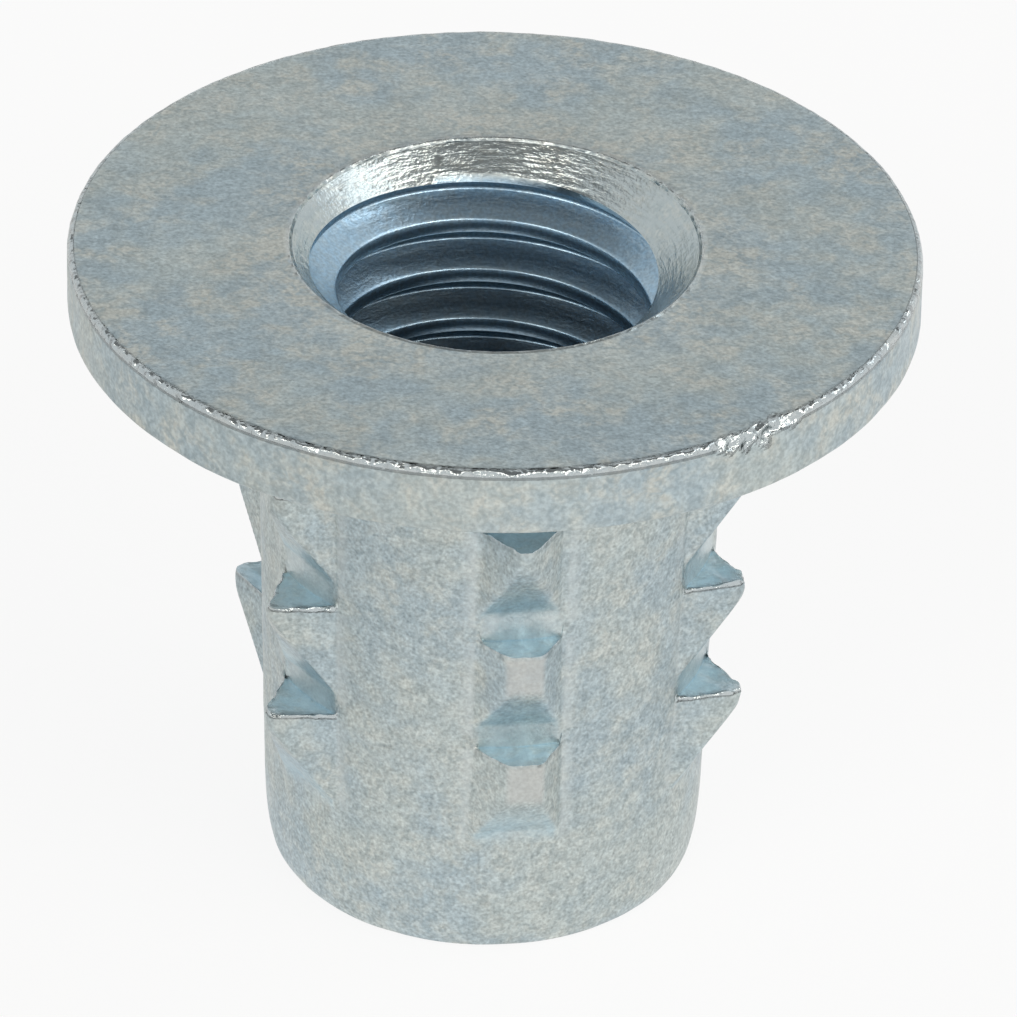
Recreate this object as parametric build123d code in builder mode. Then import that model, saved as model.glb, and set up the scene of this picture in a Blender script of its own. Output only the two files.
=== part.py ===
from build123d import *
import os

# A threaded wood insert: one cold-formed piece of steel, with a round flange, a tapered shank that
# carries rows of pointed barbs, and a threaded bore right through. It stands on its lower end with
# the flange on top. Origin: centre of the lower end face, +Z along the bore towards the flange.
# All sizes are in millimetres.

# Flange
flange_radius = 9.05
flange_thickness = 1.55
flange_top_round = 0.10
flange_under_round = 0.12

# Shank
total_length = 15.0
shank_radius_at_flange = 5.05
shank_radius_at_lead_in = 4.80
lead_in_height = 2.0  # the rounded lower end, which finds the hole in the wood
lead_in_depth = 0.28
neck_round = 0.25  # the concave corner under the flange

# Bore, for an M8 x 1.25 internal thread. The wall stands at the thread's crests.
thread_major_radius = 4.0
bore_radius = 3.35
countersink_radius = 4.40
lower_chamfer_margin = 0.05  # how far the lower mouth opens past the thread's major radius

# Barbs: columns round the shank, rows below each other
column_count = 6
first_column_angle = -81.3  # degrees from +X towards +Y
row_count = 3
row_pitch = 2.78
first_row_drop = 4.10  # from the flange's top face to the flat top of the highest barbs
barb_width = 1.85
barb_height = 2.2
barb_root_radius = 4.6  # inside the shank's wall, so that each barb grows out of it
barb_tip_radius = 5.90
barb_tip_width = 0.40
barb_tip_height = 0.42
barb_tip_round = 0.15

# Heights and radii that follow from the sizes above
flange_underside = total_length - flange_thickness
shank_taper = (shank_radius_at_flange - shank_radius_at_lead_in) / (flange_underside - lead_in_height)
lower_end_radius = shank_radius_at_lead_in - lead_in_depth
countersink_bottom = total_length - (countersink_radius - bore_radius)
lower_chamfer_radius = thread_major_radius + lower_chamfer_margin
lower_chamfer_top = lower_chamfer_radius - bore_radius
first_row_height = total_length - first_row_drop

# Each flank of a barb runs in a straight line from the shank's wall to the tip, so its section is
# carried on at the same slope to the root plane inside the wall.
middle_row_height = first_row_height - row_pitch
wall_radius = shank_radius_at_flange - shank_taper * (flange_underside - middle_row_height)
flank_reach = (barb_tip_radius - barb_root_radius) / (barb_tip_radius - wall_radius)
barb_root_width = barb_tip_width + (barb_width - barb_tip_width) * flank_reach
barb_root_height = barb_tip_height + (barb_height - barb_tip_height) * flank_reach

# One barb, with its flat top face at height zero and its tip towards +X
with BuildPart() as barb:
    with BuildSketch(Plane.YZ.offset(barb_root_radius)):
        Rectangle(barb_root_width, barb_root_height, align=(Align.CENTER, Align.MAX))
    with BuildSketch(Plane.YZ.offset(barb_tip_radius)):
        Rectangle(barb_tip_width, barb_tip_height, align=(Align.CENTER, Align.MAX))
    loft(ruled=True)
    tip_face = barb.faces().sort_by(Axis.X)[-1]
    fillet(tip_face.edges(), radius=barb_tip_round)

with BuildPart() as threaded_insert:
    # Half section of the whole piece, without its barbs, turned about the bore's axis
    with BuildSketch(Plane.XZ):
        with BuildLine():
            lower_end = (lower_end_radius, 0)
            lead_in_top = (shank_radius_at_lead_in, lead_in_height)
            neck = (shank_radius_at_flange, flange_underside)
            Line((lower_chamfer_radius, 0), lower_end)
            EllipticalCenterArc(
                center=(lower_end_radius, lead_in_height),
                x_radius=lead_in_depth,
                y_radius=lead_in_height,
                start_angle=270,
                arc_size=90,
            )
            Polyline(
                lead_in_top,
                neck,
                (flange_radius, flange_underside),
                (flange_radius, total_length),
                (countersink_radius, total_length),
                (bore_radius, countersink_bottom),
                (bore_radius, lower_chamfer_top),
                (lower_chamfer_radius, 0),
            )
        make_face()
    revolve(axis=Axis.Z)

    # The flange's rim, and the corner between flange and shank
    circles = threaded_insert.edges().filter_by(GeomType.CIRCLE)
    rim = circles.filter_by(lambda edge: abs(edge.radius - flange_radius) < flange_top_round)
    fillet(rim.sort_by(Axis.Z)[-1], radius=flange_top_round)
    fillet(rim.sort_by(Axis.Z)[0], radius=flange_under_round)
    neck_edge = circles.filter_by(lambda edge: abs(edge.radius - shank_radius_at_flange) < neck_round / 2)
    fillet(neck_edge.sort_by(Axis.Z)[-1], radius=neck_round)

    # Columns of barbs, each row with its flat face towards the flange
    for row in range(row_count):
        with Locations((0, 0, first_row_height - row * row_pitch)):
            with PolarLocations(0, column_count, start_angle=first_column_angle):
                add(barb.part)

threaded_insert.part.label = "threaded_insert"
os.makedirs("parts", exist_ok=True)
export_step(threaded_insert.part, "parts/threaded_insert.step")
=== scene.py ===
import math

import bpy
import numpy as np
from mathutils import Matrix, Vector, noise


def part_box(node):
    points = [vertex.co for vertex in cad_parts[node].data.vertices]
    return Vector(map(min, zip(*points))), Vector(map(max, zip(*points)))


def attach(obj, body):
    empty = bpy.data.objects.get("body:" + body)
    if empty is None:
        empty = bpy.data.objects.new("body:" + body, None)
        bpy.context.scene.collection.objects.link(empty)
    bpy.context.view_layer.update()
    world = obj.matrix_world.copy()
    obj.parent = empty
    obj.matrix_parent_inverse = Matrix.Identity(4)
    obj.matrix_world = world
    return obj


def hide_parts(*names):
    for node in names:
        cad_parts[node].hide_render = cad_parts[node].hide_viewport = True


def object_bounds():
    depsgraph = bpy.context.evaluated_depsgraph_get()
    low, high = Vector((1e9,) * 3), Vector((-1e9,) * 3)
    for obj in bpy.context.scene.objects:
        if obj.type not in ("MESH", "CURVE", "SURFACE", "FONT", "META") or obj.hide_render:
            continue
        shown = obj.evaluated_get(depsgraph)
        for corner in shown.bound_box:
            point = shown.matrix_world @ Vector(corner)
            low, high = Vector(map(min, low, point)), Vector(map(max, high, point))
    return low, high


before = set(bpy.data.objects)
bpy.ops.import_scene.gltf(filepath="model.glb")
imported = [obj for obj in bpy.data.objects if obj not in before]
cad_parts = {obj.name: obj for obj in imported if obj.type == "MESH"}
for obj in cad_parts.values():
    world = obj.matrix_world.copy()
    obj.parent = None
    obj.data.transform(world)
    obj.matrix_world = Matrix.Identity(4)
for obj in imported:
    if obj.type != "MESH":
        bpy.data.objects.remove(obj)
cad_low, cad_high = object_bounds()

# ---------------------------------------------------------------------------------------------
# Driving sizes, in millimetres. The overall ones are read from the CAD node.
# ---------------------------------------------------------------------------------------------
METRES = 0.001
node_low, node_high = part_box("threaded_insert")
total_length = (node_high.z - node_low.z) / METRES
box_margin = 0.01   # keeps the worn skin inside the CAD model's box
flange_radius = (node_high.x - node_low.x) / METRES / 2 - box_margin

flange_thickness = 1.55
flange_underside = total_length - flange_thickness
rim_top_round = 0.14
rim_under_round = 0.16

shank_radius_at_flange = 5.05
shank_radius_at_lead_in = 4.80
lead_in_height = 2.0
lead_in_depth = 0.28
neck_round = 0.25
shank_taper = (shank_radius_at_flange - shank_radius_at_lead_in) / (flange_underside - lead_in_height)
lower_end_radius = shank_radius_at_lead_in - lead_in_depth

thread_pitch = 1.25
thread_major_radius = 4.0
thread_minor_radius = 3.35
crest_share = 0.25          # of the pitch, flat at the minor radius
crest_below_top = 1.49      # from the flange's top down to the first whole crest, at +Y
countersink_radius = 4.36
countersink_bottom = total_length - (countersink_radius - thread_minor_radius)
lower_chamfer_radius = thread_major_radius + 0.05
mouth_round = 0.06

# Barbs: columns round the shank, rows below each other
column_count = 6
column_turn = 2 * math.pi / column_count
first_column_angle = math.radians(-81.3)
row_count = 3
row_pitch = 2.78
first_row_height = total_length - 4.10
barb_width = 1.85
barb_height = 2.2
barb_base_radius = 4.85
barb_side_slope = 0.752     # loss of half width for each millimetre outwards
barb_under_slope = 1.70     # loss of height for each millimetre outwards
barb_nose_radius = 5.88     # where the blunt nose cuts the point off
barb_nose_round = 0.12
barb_edge_round = 0.10
barb_foot_round = 0.03
ridge_facet = {0: 0.015, 1: 0.07, 5: 0.07}   # worn corner between flanks and flat top, by column
plain_ridge_facet = 0.035
keen_facet = 0.07           # a facet this wide glints fully
keen_least = 0.25
ridge_jag = 0.075
smooth_columns = (2, 3, 4)  # whose ridges came out clean
column_lift = {0: 0.06, 1: -0.10, 4: -0.04}   # columns struck a little high or low
worn_noses = {(0, 1): 0.06, (0, 2): 0.14}     # flattened noses, and how far they lean sideways
worn_nose_radius = 5.59
full_nose_column = 1        # its noses reach further and are rounder
full_nose_extra = 0.07

# How much one barb differs from the next
angle_scatter = 0.004       # radians
height_scatter = 0.01
lean_scatter = 0.03
nose_scatter = 0.03
burr_least = 0.05
burr_spread = 0.09
clean_ridge_share = 0.3     # of the jag, on the smooth columns
full_nose_round_share = 2.0
worn_nose_round_share = 1.5

# Relief of the shank's wall round each column of barbs
band_depth = 0.02
band_flat_half_width = 0.72
band_half_width = 0.95
struck_fade = 0.25          # the relief ends this far below the lowest barb
# The lips are only this high; their highlight is painted in the colour
lip_height = 0.008

# Wear of the flange: centre and half width in degrees from -Y towards +X, and depth of each dent
rim_dents = [(37.6, 8.2, 0.27), (31.8, 2.0, 0.13), (141.7, 1.6, 0.08), (5.5, 1.6, 0.05), (-13.0, 0.8, 0.04)]
dent_slant = 0.62           # how steeply a dent cuts the rim's corner off
dent_crumple = 0.10

# Rough surface: grain in millimetres, seed of the noise, and depth
forging_waves = ((1.4, 1.0, 0.028), (0.45, 2.0, 0.012))
edge_wear = ((0.20, 4.0, 0.022), (0.6, 5.0, 0.010))
flange_top_calm = 0.55      # the flange's top face is this much smoother than the rest

# How finely each part of the surface is divided
shank_steps_at_column = 45
shank_steps_between = 17
rim_step_in_front = math.radians(0.5)
rim_step_behind = math.radians(0.8)
thread_steps = 160
top_face_rows = 7
column_half_angle = math.radians(13.5)
flank_drops = np.concatenate([np.linspace(barb_height + 0.05, 0.72, 14), np.linspace(0.64, 0.11, 8)])
rim_insets = (0.17, 0.23, 0.30, 0.38, 0.48, 0.65)   # rings of the top face beside its rounded edge

rng = np.random.default_rng(8)


# ---------------------------------------------------------------------------------------------
# Small helpers
# ---------------------------------------------------------------------------------------------
def smooth_step(value, start, end):
    t = np.clip((value - start) / (end - start), 0, 1)
    return t * t * (3 - 2 * t)


def smooth_min(a, b, blend):
    h = np.clip(0.5 + 0.5 * (b - a) / blend, 0, 1)
    return b + (a - b) * h - blend * h * (1 - h)


def smooth_max(a, b, blend):
    return -smooth_min(-a, -b, blend)


def wander(points, grain, seed):
    """Smooth noise from about -1 to 1 at each point, in steps of about `grain` millimetres."""
    shift = Vector((seed * 17.3, seed * 5.7, seed * 11.1))
    return np.array([noise.noise(Vector(p) / grain + shift) for p in points])


def around(angles, radius, height):
    """Points at each angle, at a radius and height that may vary with the angle."""
    radius = np.broadcast_to(radius, angles.shape)
    height = np.broadcast_to(height, angles.shape)
    return np.stack([radius * np.cos(angles), radius * np.sin(angles), height], axis=1)


def angle_from(angles, centre):
    """Signed angle from a centre direction, between -pi and pi."""
    return (angles - centre + math.pi) % (2 * math.pi) - math.pi


class Skin:
    """A closed surface gathered ring by ring, from the lower end round the outside and down the bore.

    Each point also carries what its finish needs, from 0 to 1: its blue tint with painted reflection and
    shade, its wear, its painted highlight, its edge (rubbed, with a painted glint), and how much it belongs
    to the bore or the cone.
    """
    finishes = ("blue", "worn", "pale", "edge", "bore", "cone")

    def __init__(self):
        self.points = []
        self.finish = {name: [] for name in self.finishes}
        self.faces = []
        self.count = 0

    def ring(self, points, **finish):
        index = np.arange(self.count, self.count + len(points))
        self.points.append(points)
        for name in self.finishes:
            self.finish[name].append(np.broadcast_to(finish.get(name, 0.0), len(points)))
        self.count += len(points)
        return index

    def band(self, first, second):
        """Four-sided faces between two rings with the same number of points."""
        for a, b, c, d in zip(first, np.roll(first, -1), np.roll(second, -1), second):
            self.faces.append((a, b, c, d))

    def stitch(self, first, first_angles, second, second_angles):
        """Triangles between two rings that have different numbers of points."""
        turn = 2 * math.pi
        start = first_angles[0]
        order = np.argsort((second_angles - start) % turn)
        ahead = (second_angles[order] - start) % turn
        along = (first_angles - start) % turn
        second = second[order]
        i, j = 0, 0
        n, m = len(first), len(second)
        while i < n or j < m:
            next_first = along[i + 1] if i + 1 < n else (turn if i < n else 2 * turn)
            next_second = ahead[j + 1] if j + 1 < m else (turn + ahead[0] if j < m else 2 * turn)
            if next_first <= next_second:
                self.faces.append((first[i % n], first[(i + 1) % n], second[j % m]))
                i += 1
            else:
                self.faces.append((first[i % n], second[(j + 1) % m], second[j % m]))
                j += 1


# ---------------------------------------------------------------------------------------------
# Shank and barbs
# ---------------------------------------------------------------------------------------------
def shank_angles():
    """Angles round the shank, closer together across each column of barbs."""
    start, end = -column_half_angle, column_half_angle
    inside = np.linspace(start, end, shank_steps_at_column, endpoint=False)
    outside = np.linspace(end, column_turn + start, shank_steps_between, endpoint=False)
    one = np.concatenate([inside, outside])
    return np.concatenate([first_column_angle + column_turn * k + one for k in range(column_count)])


def taper_radius(height):
    straight = shank_radius_at_lead_in + shank_taper * (height - lead_in_height)
    drop = np.clip((lead_in_height - height) / lead_in_height, 0, 1)
    curved = lower_end_radius + lead_in_depth * np.sqrt(1 - drop * drop)
    return np.where(height > lead_in_height, straight, curved)


def from_column(angles):
    """Distance along the wall from the middle of the nearest column of barbs."""
    turned = (angles - first_column_angle + column_turn / 2) % column_turn - column_turn / 2
    return np.abs(turned) * barb_base_radius


def wall_radius(angles, height):
    """The shank's own wall, with a shallow band along each column and a lip on each side of it."""
    height = np.broadcast_to(height, angles.shape)
    aside = from_column(angles)
    lowest = first_row_height - (row_count - 1) * row_pitch - barb_height
    struck = smooth_step(height, lowest - struck_fade, lowest + 0.1)
    band = 1 - smooth_step(aside, band_flat_half_width, band_half_width)
    return taper_radius(height) + struck * (lip_height * lip_share(angles) - band_depth * band)


def lip_share(angles):
    """How much a point belongs to the lip of metal pushed up beside a column, from 0 to 1."""
    aside = from_column(angles)
    return smooth_step(aside, 0.92, 0.99) * (1 - smooth_step(aside, 1.03, 1.35))


def band_share(angles):
    """How much a point belongs to the bluish band along a column, from 0 to 1."""
    return 1 - smooth_step(from_column(angles), 0.55, 1.0)


def pale_share(angles):
    """How much painted highlight the wall takes: most along the columns, less on the lips beside them."""
    return np.maximum(0.5 * lip_share(angles), 0.7 * band_share(angles))


class Barb:
    """One barb: a flat top, two side flanks, a sloping underside and a blunt nose."""

    def __init__(self, column, row):
        level = first_row_height - row * row_pitch + column_lift.get(column, 0.0)
        self.angle = first_column_angle + column * column_turn + rng.normal(0, angle_scatter)
        self.top = level + rng.normal(0, height_scatter)
        self.worn = float((column, row) in worn_noses)
        self.lean = worn_noses.get((column, row), rng.normal(0, lean_scatter))
        self.nose = worn_nose_radius if self.worn else barb_nose_radius + rng.normal(0, nose_scatter)
        self.nose_round = barb_nose_round
        if column == full_nose_column:
            self.nose += full_nose_extra
            self.nose_round *= full_nose_round_share
        if self.worn:
            self.nose_round *= worn_nose_round_share
        self.burr = burr_least + burr_spread * rng.random()
        self.jag = ridge_jag * (clean_ridge_share if column in smooth_columns else 1.0)
        self.facet = ridge_facet.get(column, plain_ridge_facet)
        self.keen = min(1.0, max(keen_least, self.facet / keen_facet))

    def side(self, angles):
        """Distance along the barb's middle at which its side flanks cross each angle."""
        away = np.clip(angle_from(angles, self.angle), -1, 1)
        half_width = barb_width / 2
        slope = barb_side_slope * (1 - np.sign(away) * self.lean / half_width)
        return (half_width + slope * barb_base_radius) / (np.abs(np.tan(away)) + slope)

    def reach(self, angles, below_top):
        """Radius of the barb's flanks and nose at each angle, some way below its flat top."""
        away = np.clip(angle_from(angles, self.angle), -1, 1)
        under = barb_base_radius + (barb_height - below_top) / barb_under_slope
        flanks = smooth_min(self.side(angles), under, barb_edge_round)
        rounded = smooth_min(flanks, np.full_like(flanks, self.nose), self.nose_round)
        return rounded / np.cos(away)


barbs = [[Barb(column, row) for column in range(column_count)] for row in range(row_count)]


def nearest_barb_values(row, angles, name):
    """A value of the nearest barb in a row, at each angle."""
    centres = np.array([b.angle for b in barbs[row]])
    gaps = np.abs(angle_from(angles[:, None], centres[None, :]))
    values = np.array([getattr(b, name) for b in barbs[row]])
    return values[np.argmin(gaps, axis=1)]


def barb_radius(row, angles, below_top):
    reach = np.zeros(len(angles))
    for barb in barbs[row]:
        reach = np.maximum(reach, barb.reach(angles, below_top))
    return reach


def side_radius(row, angles):
    return np.max([barb.side(angles) for barb in barbs[row]], axis=0)


def barb_flank_rings(add, angles, row, top, jag):
    """From the foot of the underside up to just below the flat top."""
    nose = nearest_barb_values(row, angles, "nose")
    worn = nearest_barb_values(row, angles, "worn")
    for drop in flank_drops:
        wall = wall_radius(angles, top - drop)
        barb = barb_radius(row, angles, drop)
        barb = barb + jag * smooth_step(drop, 0.3, 0.0)
        radius = smooth_max(wall, barb, barb_foot_round)
        flat = worn * smooth_step(barb, nose - 0.12, nose - 0.01)
        stands = smooth_step(barb - wall, -0.03, 0.05)
        under = barb_base_radius + (barb_height - drop) / barb_under_slope
        below = smooth_step(side_radius(row, angles) - under, -0.05, 0.15) * stands
        below *= smooth_step(drop, barb_height - 1.2, barb_height - 0.2)
        # Blue tint along the bands beside the barbs, and painted reflection and shade on each barb's
        # underside, strongest near its foot
        blue = np.maximum(0.40 * (1 - stands) * band_share(angles), 0.6 * below * (1 - flat))
        # The bare wall beside a barb takes the painted highlight
        add(radius, top - drop, worn=flat, blue=blue, pale=(1 - stands) * pale_share(angles))


def barb_top_rings(add, angles, row, top, jag):
    """The ragged ridge at the edge of the flat top, and the top face back to the wall."""
    barb = barb_radius(row, angles, 0.0) + jag
    wall = wall_radius(angles, top)
    stands = smooth_step(barb - wall, 0.0, 0.06)
    clear = smooth_step(barb - wall, 0.06, 0.22)
    ridge = np.maximum(barb, wall)
    burr = nearest_barb_values(row, angles, "burr") * np.clip(0.2 + 12 * jag, 0, 1) * stands
    facet = nearest_barb_values(row, angles, "facet")
    glint = nearest_barb_values(row, angles, "keen") * stands
    add(ridge, top - facet, edge=glint)
    add(ridge - 0.3 * facet * stands, top - 0.3 * facet + 0.5 * burr, edge=glint)
    inner = np.maximum(ridge - facet * stands, wall)
    outside = 1 - smooth_step(ridge - wall, 0.0, 0.1)
    seed = 3.0 + row
    for step in np.linspace(0, 1, top_face_rows):
        radius = inner + (wall - inner) * step
        lift = 0.30 * outside * step
        crumple = 0.09 * wander(around(angles, radius, top), 0.3, seed) * stands * math.sin(math.pi * step)
        curl = burr * (1 - step) ** 3
        # The top face is painted with the blue reflection and shade of what stands over it
        add(radius, top + lift + crumple + curl, edge=glint * (1 - step) ** 4, blue=clear)
    above = top + 0.04 + 0.30 * outside
    # The band above the top face: blue tint with painted reflection, and painted highlight
    add(wall_radius(angles, above), above, blue=0.4 * band_share(angles), pale=pale_share(angles))


def shank_rings(skin, angles):
    rings = []

    def add(radius, height, **finish):
        rings.append(skin.ring(around(angles, radius, height), **finish))

    add((lower_chamfer_radius + lower_end_radius) / 2, 0.0)
    lead_in = lead_in_height * (1 - np.cos(np.linspace(0, math.pi / 2, 12)))
    for height in np.concatenate([lead_in, [2.4, 2.8]]):
        add(wall_radius(angles, height), height)
    for row in reversed(range(row_count)):
        top = nearest_barb_values(row, angles, "top")
        jag = wander(around(angles, barb_base_radius, top), 0.13, 40.0 + row)
        jag = jag * nearest_barb_values(row, angles, "jag")
        barb_flank_rings(add, angles, row, top, jag)
        barb_top_rings(add, angles, row, top, jag)
    for height in (first_row_height + 0.7, first_row_height + 1.4, flange_underside - neck_round - 0.3):
        # Blue tint with painted reflection along the columns up to the neck
        add(wall_radius(angles, height), height, blue=0.5 * band_share(angles))
    for turn in np.linspace(0, math.pi / 2, 6):
        radius = shank_radius_at_flange + neck_round * (1 - math.cos(turn))
        add(radius, flange_underside - neck_round + neck_round * math.sin(turn))
    add(shank_radius_at_flange + neck_round + 0.25, flange_underside)
    return rings


# ---------------------------------------------------------------------------------------------
# Flange and countersink
# ---------------------------------------------------------------------------------------------
def rim_angles():
    """Angles round the flange, closer together in front, where the rim is dented."""
    front = np.arange(math.radians(-180), 0, rim_step_in_front)
    behind = np.arange(0, math.radians(180), rim_step_behind)
    return np.concatenate([front, behind])


def arc_profile(centre, radius, start, end, steps):
    turns = np.radians(np.linspace(start, end, steps))
    return [(centre[0] + radius * math.cos(t), centre[1] + radius * math.sin(t)) for t in turns]


def rim_profile():
    """Radius, height and how much of an edge each ring is, from the underside to the top face."""
    inner = shank_radius_at_flange + neck_round + 0.6
    under_centre = (flange_radius - rim_under_round, flange_underside + rim_under_round)
    top_centre = (flange_radius - rim_top_round, total_length - rim_top_round)
    side_low, side_high = under_centre[1], top_centre[1]
    fine_from = side_high - 0.55
    plain = [(radius, flange_underside) for radius in (inner, 7.4, flange_radius - 0.35)]
    plain += arc_profile(under_centre, rim_under_round, -90, 0, 5)
    plain += [(flange_radius, height) for height in np.linspace(side_low, fine_from, 4)[1:]]
    plain += [(flange_radius, height) for height in np.linspace(fine_from, side_high, 9)[1:-1]]
    rounded = arc_profile(top_centre, rim_top_round, 0, 90, 7)
    top = [(flange_radius - inset, total_length) for inset in rim_insets]
    shares = ((plain, 0.0), (rounded, 1.0), (top, 0.0))
    return [(r, z, edge) for rings, edge in shares for r, z in rings]


def mouth_profile(cone_end):
    """The same for the inner part of the top face, the edge of the countersink and its cone."""
    top_end = countersink_radius + mouth_round
    top = [(radius, total_length) for radius in np.linspace(flange_radius - 1.3, top_end + 0.06, 8)]
    half_turn = 45.0
    rounding = mouth_round * math.tan(math.radians(half_turn / 2))
    centre = (countersink_radius + rounding, total_length - mouth_round)
    edge = arc_profile(centre, mouth_round, 90, 90 + half_turn, 4)
    start = np.array(edge[-1])
    cone = [tuple(start + (np.array(cone_end) - start) * step) for step in np.linspace(0, 1, 6)[1:]]
    flat = [(r, z, 0.0, 0.0) for r, z in top]
    return flat + [(r, z, 0.55, 0.0) for r, z in edge] + [(r, z, 0.0, 1.0) for r, z in cone]


def dent_rim(points):
    """Cut the rim's top corner off where it was struck, and say how strongly each point was struck."""
    radius = np.hypot(points[:, 0], points[:, 1])
    bearing = np.degrees(np.arctan2(points[:, 0], -points[:, 1]))
    struck = np.zeros(len(points))
    above_underside = points[:, 2] > flange_underside + rim_under_round
    near = np.nonzero((radius > flange_radius - 0.8) & above_underside)[0]
    crumple = wander(points[near], 0.20, 21.0) + 0.8 * wander(points[near] * (1, 1, 0.3), 0.34, 22.0)
    length = math.hypot(1, dent_slant)
    for centre, half_width, depth in rim_dents:
        share = np.clip(1 - ((bearing[near] - centre) / half_width) ** 2, 0, 1)
        cut = depth * share ** 0.35 + dent_crumple * crumple * share * depth / 0.2
        excess = (radius[near] - flange_radius) + dent_slant * (points[near, 2] - total_length) + cut
        push = np.maximum(excess, 0) / length ** 2
        shrink = 1 - push / radius[near]
        points[near, 0] *= shrink
        points[near, 1] *= shrink
        points[near, 2] -= push * dent_slant
        struck[near] = np.maximum(struck[near], smooth_step(push, 0.0, 0.03))
        radius[near] -= push
    return struck


# ---------------------------------------------------------------------------------------------
# Thread
# ---------------------------------------------------------------------------------------------
# One pitch of the groove, as shares of the pitch and of the depth: crest, flank, root, flank.
# Rows stand close together at the edges of the crest, so that the flanks shade flat.
thread_profile = [
    (0.012, 0.00), (0.238, 0.00), (0.262, 0.038), (0.285, 0.112), (0.41, 0.512), (0.55, 0.960),
    (0.575, 1.00), (0.675, 1.00), (0.70, 0.960), (0.84, 0.512), (0.965, 0.112), (0.988, 0.038),
]
# At +Y the crest's upper edge stands a quarter turn's climb and a crest's width above the start.
thread_start = total_length - crest_below_top - thread_pitch * (0.25 + crest_share)


def bore_radius(angles, height):
    """Radius of the bore's wall at each angle and height: thread, countersink cone or lower chamfer."""
    last, first = thread_profile[-1], thread_profile[0]
    profile = [(last[0] - 1, last[1]), *thread_profile, (first[0] + 1, first[1])]
    shares, depths = np.transpose(profile)
    phase = ((height - thread_start) / thread_pitch - angles / (2 * math.pi)) % 1.0
    depth = np.interp(phase, shares, depths)
    thread = thread_minor_radius + (thread_major_radius - thread_minor_radius) * depth
    cone = thread_minor_radius + (height - countersink_bottom)
    chamfer = lower_chamfer_radius - height
    return np.maximum(np.maximum(thread, cone), chamfer)


def helix_rows(angles, top_height):
    """Heights of the rows of points that follow the helix, cut off level at both ends."""
    turns_below = math.ceil(thread_start / thread_pitch) + 2
    turns_above = math.ceil((top_height - thread_start) / thread_pitch) + 1
    offsets = np.array([p[0] for p in thread_profile])
    turns = np.arange(-turns_below, turns_above)
    levels = thread_start + thread_pitch * (turns[:, None] + offsets[None, :]).ravel()
    climb = thread_pitch * angles / (2 * math.pi)
    return np.clip(levels[:, None] + climb[None, :], 0.0, top_height)


def thread_block(skin, angles, top_height):
    """The threaded wall. Points that the level ends bring together are kept once."""
    heights = np.round(helix_rows(angles, top_height), 7)
    rows, columns = heights.shape
    radius = bore_radius(np.broadcast_to(angles, heights.shape), heights)
    index, points = {}, []
    lookup = np.zeros(heights.shape, int)
    for i in range(rows):
        for j in range(columns):
            key = (j, heights[i, j])
            if key not in index:
                index[key] = len(points)
                flat = (radius[i, j] * math.cos(angles[j]), radius[i, j] * math.sin(angles[j]))
                points.append((*flat, heights[i, j]))
            lookup[i, j] = index[key]
    points = np.array(points)
    cone_radius = thread_minor_radius + points[:, 2] - countersink_bottom
    past_cone = np.hypot(points[:, 0], points[:, 1]) - cone_radius
    cone = np.where((past_cone < 0.001) & (points[:, 2] > countersink_bottom), 1.0, 0.0)
    lookup += skin.ring(points, bore=1 - cone, cone=cone)[0]
    for i in range(rows - 1):
        for j in range(columns):
            corners = helix_face(lookup, i, j)
            face = [c for k, c in enumerate(corners) if c != corners[k - 1]]
            if len(face) >= 3:
                skin.faces.append(tuple(face))
    return lookup[-1], lookup[0]


def helix_face(lookup, i, j):
    """Corners of one face. Past the last angle the rows go on one turn higher, at the first angle."""
    rows, columns = lookup.shape
    if j + 1 < columns:
        return [lookup[i + 1, j], lookup[i + 1, j + 1], lookup[i, j + 1], lookup[i, j]]
    one_turn = len(thread_profile)
    low, high = min(i + one_turn, rows - 1), min(i + 1 + one_turn, rows - 1)
    return [lookup[i + 1, j], lookup[high, 0], lookup[low, 0], lookup[i, j]]


# ---------------------------------------------------------------------------------------------
# The whole insert
# ---------------------------------------------------------------------------------------------
def gather_skin():
    skin = Skin()
    outer_angles = shank_angles()
    flange_angles = rim_angles()
    bore_angles = np.linspace(0, 2 * math.pi, thread_steps, endpoint=False)
    cone_end_radius = thread_major_radius + 0.08
    cone_end_height = countersink_bottom + (cone_end_radius - thread_minor_radius)

    shank = shank_rings(skin, outer_angles)
    for first, second in zip(shank, shank[1:]):
        skin.band(first, second)
    flange = [skin.ring(around(flange_angles, r, z), edge=edge) for r, z, edge in rim_profile()]
    for r, z, edge, cone in mouth_profile((cone_end_radius, cone_end_height)):
        flange.append(skin.ring(around(flange_angles, r, z), edge=edge, cone=cone))
    for first, second in zip(flange, flange[1:]):
        skin.band(first, second)
    skin.stitch(shank[-1], outer_angles, flange[0], flange_angles)

    bore_top, bore_bottom = thread_block(skin, bore_angles, cone_end_height)
    skin.stitch(flange[-1], flange_angles, bore_top, bore_angles)
    skin.stitch(bore_bottom, bore_angles, shank[0], outer_angles)
    return skin


def relief(points, finish):
    """How far the surface lies inside its ideal form: forging waviness, and wear along the edges."""
    def inward(layers):
        return sum(depth * (0.5 + 0.5 * wander(points, grain, seed)) for grain, seed, depth in layers)

    outside = 1 - finish["bore"]
    flange_top = smooth_step(points[:, 2], total_length - 0.06, total_length - 0.02)
    calm = outside * (1 - flange_top_calm * flange_top) * (1 - finish["cone"])
    return calm * inward(forging_waves) + finish["edge"] * inward(edge_wear) + 0.003 * finish["cone"]


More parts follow.
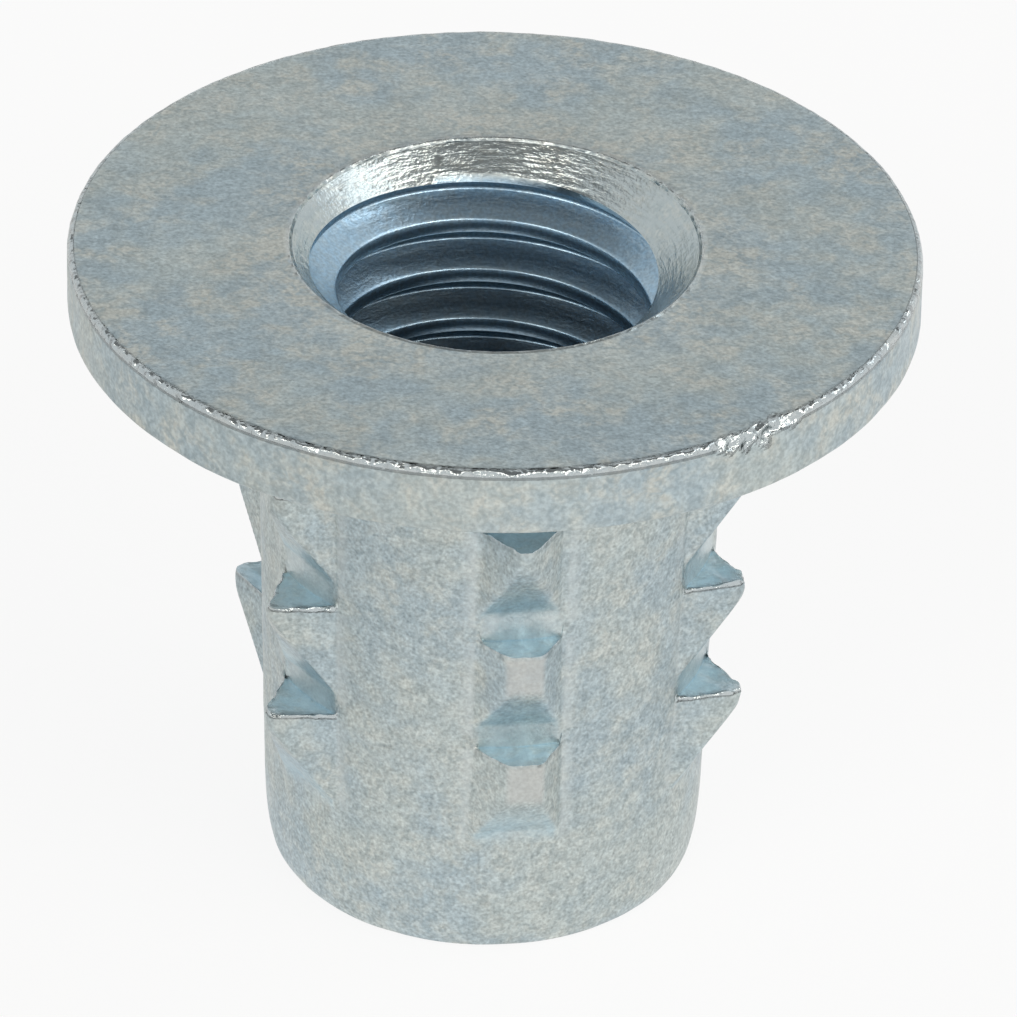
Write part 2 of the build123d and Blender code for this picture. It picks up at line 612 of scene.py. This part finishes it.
def build_insert():
    skin = gather_skin()
    points = np.concatenate(skin.points)
    finish = {name: np.concatenate(values) for name, values in skin.finish.items()}

    mesh = bpy.data.meshes.new("threaded_insert_detailed")
    mesh.from_pydata(points.tolist(), [], [tuple(int(c) for c in face) for face in skin.faces])
    mesh.update()
    normals = np.empty(len(points) * 3, np.float32)
    mesh.vertex_normals.foreach_get("vector", normals)
    points -= normals.reshape(-1, 3) * relief(points, finish)[:, None]
    struck = dent_rim(points)
    # The struck dent takes the edge finish too, with its lighter, partly painted glint colour
    finish["edge"] = np.maximum(finish["edge"], struck)
    points[:, 2] = np.clip(points[:, 2], 0.0, total_length)

    mesh.vertices.foreach_set("co", (points * METRES).astype(np.float32).ravel())
    for name, values in finish.items():
        attribute = mesh.attributes.new(name, "FLOAT", "POINT")
        attribute.data.foreach_set("value", values.astype(np.float32))
    mesh.polygons.foreach_set("use_smooth", np.ones(len(mesh.polygons), bool))
    mesh.update()
    mesh.set_sharp_from_angle(angle=math.radians(40))
    insert = bpy.data.objects.new("threaded_insert_detailed", mesh)
    bpy.context.scene.collection.objects.link(insert)
    return insert


# ---------------------------------------------------------------------------------------------
# Materials
# ---------------------------------------------------------------------------------------------
class Graph:
    """Short names for the shader nodes that the materials here are made of."""

    def __init__(self, tree):
        self.nodes, self.links = tree.nodes, tree.links

    def put(self, source, socket):
        if isinstance(source, bpy.types.NodeSocket):
            self.links.new(source, socket)
        else:
            socket.default_value = source

    def math(self, operation, first, second=0.0):
        node = self.nodes.new("ShaderNodeMath")
        node.operation = operation
        self.put(first, node.inputs[0])
        self.put(second, node.inputs[1])
        return node.outputs[0]

    def remap(self, value, low, high, to_low=0.0, to_high=1.0):
        node = self.nodes.new("ShaderNodeMapRange")
        node.interpolation_type = "SMOOTHSTEP"
        for source, name in ((value, "Value"), (low, "From Min"), (high, "From Max"),
                             (to_low, "To Min"), (to_high, "To Max")):
            self.put(source, node.inputs[name])
        return node.outputs["Result"]

    def mix(self, share, first, second, blend="MIX"):
        node = self.nodes.new("ShaderNodeMix")
        node.data_type = "RGBA"
        node.blend_type = blend
        self.put(share, node.inputs["Factor"])
        sockets = {socket.identifier: socket for socket in node.inputs}
        self.put(first, sockets["A_Color"])
        self.put(second, sockets["B_Color"])
        return next(socket for socket in node.outputs if socket.identifier == "Result_Color")

    def times(self, first, second):
        return self.math("MULTIPLY", first, second)

    def plus(self, first, second):
        return self.math("ADD", first, second)

    def rest(self, share):
        """What a share leaves of one."""
        return self.math("SUBTRACT", 1.0, share)

    def shaded(self, colour, strength):
        """A colour multiplied by a plain number."""
        return self.mix(1.0, colour, self.join(strength, strength, strength), "MULTIPLY")

    def blend(self, share, first, second):
        """A number between two others."""
        node = self.nodes.new("ShaderNodeMix")
        node.data_type = "FLOAT"
        sockets = {socket.identifier: socket for socket in node.inputs}
        self.put(share, sockets["Factor_Float"])
        self.put(first, sockets["A_Float"])
        self.put(second, sockets["B_Float"])
        return next(socket for socket in node.outputs if socket.identifier == "Result_Float")

    def noise(self, vector, per_mm, detail=3.0, distortion=0.0):
        node = self.nodes.new("ShaderNodeTexNoise")
        node.inputs["Scale"].default_value = per_mm
        node.inputs["Detail"].default_value = detail
        node.inputs["Distortion"].default_value = distortion
        self.put(vector, node.inputs["Vector"])
        return node.outputs["Fac"]

    def attribute(self, name):
        node = self.nodes.new("ShaderNodeAttribute")
        node.attribute_name = name
        return node.outputs["Fac"]

    def millimetres(self):
        """The object's own coordinates, in millimetres."""
        place = self.nodes.new("ShaderNodeTexCoord")
        scale = self.nodes.new("ShaderNodeVectorMath")
        scale.operation = "SCALE"
        self.links.new(place.outputs["Object"], scale.inputs[0])
        scale.inputs["Scale"].default_value = 1 / METRES
        return scale.outputs[0]

    def split(self, vector):
        node = self.nodes.new("ShaderNodeSeparateXYZ")
        self.put(vector, node.inputs[0])
        return node.outputs

    def join(self, x, y, z):
        node = self.nodes.new("ShaderNodeCombineXYZ")
        for source, socket in zip((x, y, z), node.inputs):
            self.put(source, socket)
        return node.outputs[0]

    def bump(self, height, depth, normal=None):
        node = self.nodes.new("ShaderNodeBump")
        node.inputs["Distance"].default_value = depth * METRES
        self.put(height, node.inputs["Height"])
        if normal is not None:
            self.put(normal, node.inputs["Normal"])
        return node.outputs[0]


def new_material(name):
    material = bpy.data.materials.new(name)
    material.use_nodes = True
    return material, Graph(material.node_tree), material.node_tree.nodes["Principled BSDF"]


blue_zinc = (0.415, 0.500, 0.535, 1)
grey_zinc = (0.485, 0.545, 0.540, 1)
warm_zinc = (0.555, 0.565, 0.520, 1)
# Painted highlight on the lips beside the barb columns and on the bands along them
pale_zinc = (0.660, 0.710, 0.710, 1)
# Blue tint along the bands, and painted reflection and shade on the barbs' undersides and top faces
blue_and_painted_reflection_zinc = (0.450, 0.660, 0.775, 1)
bore_zinc = (0.400, 0.565, 0.700, 1)
cone_zinc = (0.500, 0.560, 0.570, 1)
# Rubbed edges: smoother and lighter, the lighter colour partly a painted glint
edge_glint_zinc = (0.560, 0.600, 0.610, 1)
worn_zinc = (0.580, 0.575, 0.550, 1)


# Where the finish changes: radii or heights in millimetres, from no effect to the full one
shank_radii = (6.2, 5.6)
shank_heights = (13.7, 13.2)
mouth_radii = (6.2, 4.5)
rim_radii = (8.2, 9.0)
# Painted shade: the bore's colour darkens between these heights, deeper down
bore_shade_heights = (13.6, 11.6)

# Depths of the finest relief, in millimetres
coarse_bump = 0.012
fine_bump = 0.010
bead_bump = 0.12
ring_bump = 0.02


def zinc_colour(graph, place, radius, height):
    """Mottled blue and warm greys. Wide patches, cloudy spots, a lacy net, fine grain and dust."""
    patches = graph.noise(place, 0.32, 2.0)
    spots = graph.noise(place, 1.3, 5.0, 0.4)
    lace = graph.noise(place, 4.2, 5.0, 0.8)
    grain = graph.noise(place, 11.0, 2.0)
    dust = graph.noise(place, 15.0, 2.0)
    on_shank = graph.times(graph.remap(radius, *shank_radii), graph.remap(height, *shank_heights))

    cloud = graph.plus(graph.times(patches, 0.65), graph.times(spots, 0.35))
    colour = graph.mix(graph.remap(cloud, 0.38, 0.58), blue_zinc, grey_zinc)
    warmth = graph.plus(graph.remap(spots, 0.40, 0.75), graph.times(graph.remap(radius, *mouth_radii), 0.40))
    warmth = graph.plus(warmth, graph.times(graph.remap(radius, *rim_radii), 0.15))
    warmth = graph.times(warmth, graph.remap(lace, 0.30, 0.62))
    warmth = graph.times(warmth, graph.rest(graph.times(on_shank, 0.55)))
    colour = graph.mix(graph.math("MINIMUM", warmth, 0.85), colour, warm_zinc)

    powder = graph.times(graph.math("SUBTRACT", dust, 0.51), graph.times(on_shank, 0.8))
    mesh_of_lace = graph.remap(lace, 0.3, 0.7, 0.90, 1.10)
    speckle = graph.times(mesh_of_lace, graph.remap(grain, 0.3, 0.7, 0.88, 1.12))
    return graph.shaded(colour, graph.plus(speckle, powder))


def finish_colour(graph, colour, masks, height, rings, coarse, fine):
    """The colours of the single finishes, laid over the mottled zinc: a blue tint with painted reflection
    and shade, wear, painted highlight, edges lighter with a painted glint, the cone and the bore, and
    painted shade deeper in the bore.
    """
    layers = (
        (graph.times(masks["blue"], 0.75), blue_and_painted_reflection_zinc),
        (graph.times(masks["worn"], 0.6), worn_zinc),
        (graph.times(masks["pale"], 0.7), pale_zinc),
        (graph.times(masks["edge"], 0.7), edge_glint_zinc),
        (graph.times(masks["cone"], graph.remap(rings, 0.35, 0.65, 0.4, 0.9)), cone_zinc),
        (graph.times(masks["bore"], graph.remap(coarse, 0.35, 0.65, 0.75, 1.0)), bore_zinc),
    )
    for share, finish in layers:
        colour = graph.mix(share, colour, finish)
    # Painted shade: the bore's colour darkens towards its depth, with fine grain
    painted_bore_shade = graph.remap(height, *bore_shade_heights, 1.05, 0.72)
    painted_bore_shade = graph.times(painted_bore_shade, graph.remap(fine, 0.3, 0.7, 0.86, 1.10))
    return graph.mix(masks["bore"], colour, graph.shaded(colour, painted_bore_shade))


def finish_roughness(graph, masks, smudge, fine):
    """Satin all over, with smudges and grain. Worn edges and cut faces are smoother."""
    smudged = graph.remap(smudge, 0.3, 0.7, 0.36, 0.46)
    roughness = graph.plus(smudged, graph.remap(fine, 0.3, 0.7, -0.05, 0.05))
    for name, value in (("worn", 0.38), ("edge", 0.18), ("cone", 0.27), ("bore", 0.33)):
        roughness = graph.blend(masks[name], roughness, value)
    return roughness


def finish_normal(graph, masks, place, rings, coarse, fine):
    """Grain all over, beads along the worn edges, and cut rings in the countersink and the bore."""
    outside = graph.rest(graph.times(masks["bore"], 0.5))
    rough_edge = graph.plus(outside, graph.times(masks["edge"], 3.5))
    beads = graph.noise(place, 4.5, 0.0)
    cut = graph.math("MAXIMUM", masks["cone"], graph.times(masks["bore"], 0.2))
    normal = graph.bump(graph.times(coarse, rough_edge), coarse_bump)
    normal = graph.bump(graph.times(beads, masks["edge"]), bead_bump, normal)
    normal = graph.bump(graph.times(fine, outside), fine_bump, normal)
    return graph.bump(graph.times(rings, cut), ring_bump, normal)


def make_zinc():
    material, graph, shader = new_material("zinc_plated_steel")
    place = graph.millimetres()
    x, y, z = graph.split(place)[:3]
    radius = graph.math("SQRT", graph.plus(graph.times(x, x), graph.times(y, y)))
    masks = {name: graph.attribute(name) for name in Skin.finishes}
    blotches = graph.noise(place, 2.6, 4.0, 0.5)
    # The blue tint and painted reflection come and go in blotches
    masks["blue"] = graph.times(masks["blue"], graph.remap(blotches, 0.35, 0.60, 0.60, 1.0))

    # Rings cut by the countersink and the tap: noise that is drawn out round the bore's axis
    across, along = 14.0, 7.0
    turned_x = graph.times(graph.math("DIVIDE", x, radius), along)
    turned_y = graph.times(graph.math("DIVIDE", y, radius), along)
    rings = graph.noise(graph.join(graph.times(radius, across), turned_x, turned_y), 1.0, 3.0)
    fine = graph.noise(place, 14.0, 2.0)
    coarse = graph.noise(place, 5.0, 4.0)
    smudge = graph.noise(place, 0.9, 3.0)

    colour = zinc_colour(graph, place, radius, z)
    colour = finish_colour(graph, colour, masks, z, rings, coarse, fine)
    graph.put(colour, shader.inputs["Base Color"])
    graph.put(finish_roughness(graph, masks, smudge, fine), shader.inputs["Roughness"])
    # Less metallic under the blue tint and painted reflection, so that those faces catch more diffuse light
    graph.put(graph.rest(graph.times(masks["blue"], 0.5)), shader.inputs["Metallic"])
    graph.put(finish_normal(graph, masks, place, rings, coarse, fine), shader.inputs["Normal"])
    return material


# How much of what is seen of the floor is plain white
white_share = 0.85
card_white_share = 0.40     # the same on the grey card, as the metal sees it
card_edges = (-14.0, -3.0)  # where the card begins and ends along X, in millimetres


def make_floor_material():
    """Pale paper. Most of what the camera and the metal see of it is plain white, with a soft shadow.

    To the left of the insert the metal sees less of the white, as beside a grey card."""
    material, graph, shader = new_material("floor")
    shader.inputs["Base Color"].default_value = (0.93, 0.93, 0.93, 1)
    shader.inputs["Roughness"].default_value = 0.9
    rays = graph.nodes.new("ShaderNodeLightPath").outputs
    seen = graph.math("MAXIMUM", rays["Is Camera Ray"], rays["Is Glossy Ray"])
    seen = graph.math("MAXIMUM", seen, rays["Is Transmission Ray"])
    sideways = graph.split(graph.millimetres())[0]
    in_metal = graph.remap(sideways, *card_edges, card_white_share, white_share)
    share = graph.math("MAXIMUM", in_metal, graph.times(rays["Is Camera Ray"], white_share))
    white = graph.nodes.new("ShaderNodeEmission")
    blend = graph.nodes.new("ShaderNodeMixShader")
    graph.put(graph.times(seen, share), blend.inputs[0])
    graph.put(shader.outputs[0], blend.inputs[1])
    graph.put(white.outputs[0], blend.inputs[2])
    graph.put(blend.outputs[0], graph.nodes["Material Output"].inputs["Surface"])
    return material


# ---------------------------------------------------------------------------------------------
# Floor, light and camera
# ---------------------------------------------------------------------------------------------
def add_floor():
    bpy.ops.mesh.primitive_plane_add(size=1.6, location=(0, 0, cad_low.z))
    floor = bpy.context.object
    floor.name = "floor"
    floor.data.materials.append(make_floor_material())


def light_world():
    """A room with pale walls and a darker ceiling."""
    ceiling_start, ceiling_full = 0.60, 0.84        # how far a direction points upwards, from 0 to 1
    wall_strength, ceiling_strength = 0.84, 0.22
    world = bpy.data.worlds.new("studio")
    bpy.context.scene.world = world
    world.use_nodes = True
    graph = Graph(world.node_tree)
    direction = graph.nodes.new("ShaderNodeTexCoord").outputs["Generated"]
    upwards = graph.split(direction)[2]
    background = graph.nodes["Background"]
    background.inputs["Color"].default_value = (0.97, 0.99, 1.0, 1)
    strength = graph.remap(upwards, ceiling_start, ceiling_full, wall_strength, ceiling_strength)
    graph.put(strength, background.inputs["Strength"])


def area_light(name, bearing, elevation, width, height, power, colour, distance=0.35):
    """A soft light that looks at the insert. Bearings are in degrees from -Y towards +X."""
    data = bpy.data.lights.new(name, "AREA")
    data.shape = "RECTANGLE"
    data.size, data.size_y = width, height
    data.energy = power
    data.color = colour
    light = bpy.data.objects.new(name, data)
    bpy.context.scene.collection.objects.link(light)
    turn, rise = math.radians(bearing), math.radians(elevation)
    towards = Vector((math.sin(turn) * math.cos(rise), -math.cos(turn) * math.cos(rise), math.sin(rise)))
    target = Vector((0, 0, node_high.z))
    light.location = target + towards * distance
    light.rotation_mode = "QUATERNION"
    light.rotation_quaternion = (-towards).to_track_quat("-Z", "Y")


def add_lights():
    warm, cool = (1.0, 0.93, 0.84), (0.93, 0.97, 1.0)
    area_light("left_window", bearing=-33, elevation=36, width=0.20, height=0.06, power=0.22, colour=warm)
    area_light("right_window", bearing=54, elevation=36, width=0.34, height=0.06, power=0.36, colour=warm)
    area_light("side_window", bearing=104, elevation=40, width=0.12, height=0.10, power=0.085, colour=cool)


def add_camera():
    distance = 0.180
    elevation = math.radians(31.09)
    roll = math.radians(-1.42)
    aim_right, aim_up = math.radians(-0.0851), math.radians(1.792)
    data = bpy.data.cameras.new("camera")
    data.sensor_width = 36
    data.lens = 302.4
    camera = bpy.data.objects.new("camera", data)
    bpy.context.scene.collection.objects.link(camera)
    back = Vector((0, -math.cos(elevation), math.sin(elevation)))
    right = Vector((1, 0, 0))
    up = back.cross(right)
    camera.location = Vector((0, 0, node_high.z)) + back * distance
    rolled_right = right * math.cos(roll) - up * math.sin(roll)
    rolled_up = right * math.sin(roll) + up * math.cos(roll)
    level = Matrix((rolled_right, rolled_up, back))
    ahead = Vector((0, 0, -1))
    aim = Vector((math.tan(aim_right), math.tan(aim_up), -1)).normalized()
    tilt = ahead.rotation_difference(aim).to_matrix()
    camera.rotation_mode = "QUATERNION"
    camera.rotation_quaternion = (tilt @ level).transposed().to_quaternion()
    bpy.context.scene.camera = camera


insert = build_insert()
insert.data.materials.append(make_zinc())
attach(insert, "root")
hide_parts("threaded_insert")
add_floor()
light_world()
add_lights()
add_camera()
bpy.context.scene.view_settings.view_transform = "Standard"
